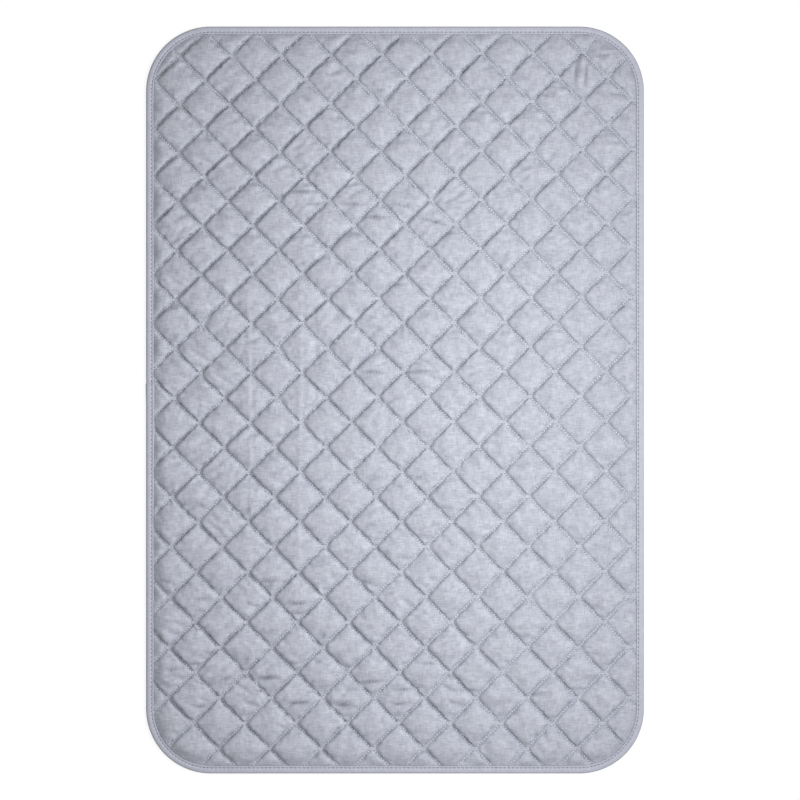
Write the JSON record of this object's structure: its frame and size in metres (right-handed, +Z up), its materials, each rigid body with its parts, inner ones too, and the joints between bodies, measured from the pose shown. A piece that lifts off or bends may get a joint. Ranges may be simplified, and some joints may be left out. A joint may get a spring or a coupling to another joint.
{
  "type": "ironing pad",
  "caption": "Soft quilted ironing pad with rounded corners and a bound edge, laid flat on a table to iron on and folded in half to store.",
  "frame": {"origin": "On the table, under the middle of the pad.", "axes": "+Z up out of the ironing face, +Y along the pad's length towards the rear half, +X across its width."},
  "size_m": [0.5, 0.75, 0.0074],
  "materials": {
    "cover_cloth": "silver-coated plain-weave cotton with a soft satin sheen",
    "wadding": "needle-punched off-white wadding",
    "backing_cloth": "plain pale grey cotton, matt",
    "binding_tape": "folded cotton tape, matt silver-grey",
    "sewing_thread": "twisted polyester thread, light grey"
  },
  "bodies": {
    "front_half": {"cover_front": "cover_cloth", "batting_front": "wadding", "backing_front": "backing_cloth", "binding_front": "binding_tape", "binding_needle_thread_front": "sewing_thread", "binding_bobbin_thread_front": "sewing_thread", "quilting_thread_01_front": "sewing_thread", "quilting_thread_02_front": "sewing_thread", "quilting_thread_03_front": "sewing_thread", "quilting_thread_04_front": "sewing_thread", "quilting_thread_05_front": "sewing_thread", "quilting_thread_06_front": "sewing_thread", "quilting_thread_07_front": "sewing_thread", "quilting_thread_08_front": "sewing_thread", "quilting_thread_09_front": "sewing_thread", "quilting_thread_10_front": "sewing_thread", "quilting_thread_11_front": "sewing_thread", "quilting_thread_12_front": "sewing_thread", "quilting_thread_13_front": "sewing_thread", "quilting_thread_14_front": "sewing_thread", "quilting_thread_15_front": "sewing_thread", "quilting_thread_16_front": "sewing_thread", "quilting_thread_17_front": "sewing_thread", "quilting_thread_18_front": "sewing_thread", "quilting_thread_19_front": "sewing_thread"},
    "rear_half": {"cover_rear": "cover_cloth", "batting_rear": "wadding", "backing_rear": "backing_cloth", "binding_rear": "binding_tape", "binding_needle_thread_rear": "sewing_thread", "binding_bobbin_thread_rear": "sewing_thread", "quilting_thread_01_rear": "sewing_thread", "quilting_thread_02_rear": "sewing_thread", "quilting_thread_03_rear": "sewing_thread", "quilting_thread_04_rear": "sewing_thread", "quilting_thread_05_rear": "sewing_thread", "quilting_thread_06_rear": "sewing_thread", "quilting_thread_07_rear": "sewing_thread", "quilting_thread_08_rear": "sewing_thread", "quilting_thread_09_rear": "sewing_thread", "quilting_thread_10_rear": "sewing_thread", "quilting_thread_11_rear": "sewing_thread", "quilting_thread_12_rear": "sewing_thread", "quilting_thread_13_rear": "sewing_thread", "quilting_thread_14_rear": "sewing_thread", "quilting_thread_15_rear": "sewing_thread", "quilting_thread_16_rear": "sewing_thread", "quilting_thread_17_rear": "sewing_thread", "quilting_thread_18_rear": "sewing_thread", "quilting_thread_19_rear": "sewing_thread"}
  },
  "joints": [
    {"name": "fold_in_half", "type": "hinge", "parent": "front_half", "child": "rear_half", "pos_m": [0, 0, 0.00775], "axis": [1, 0, 0], "range_deg": [0, 178]}
  ]
}
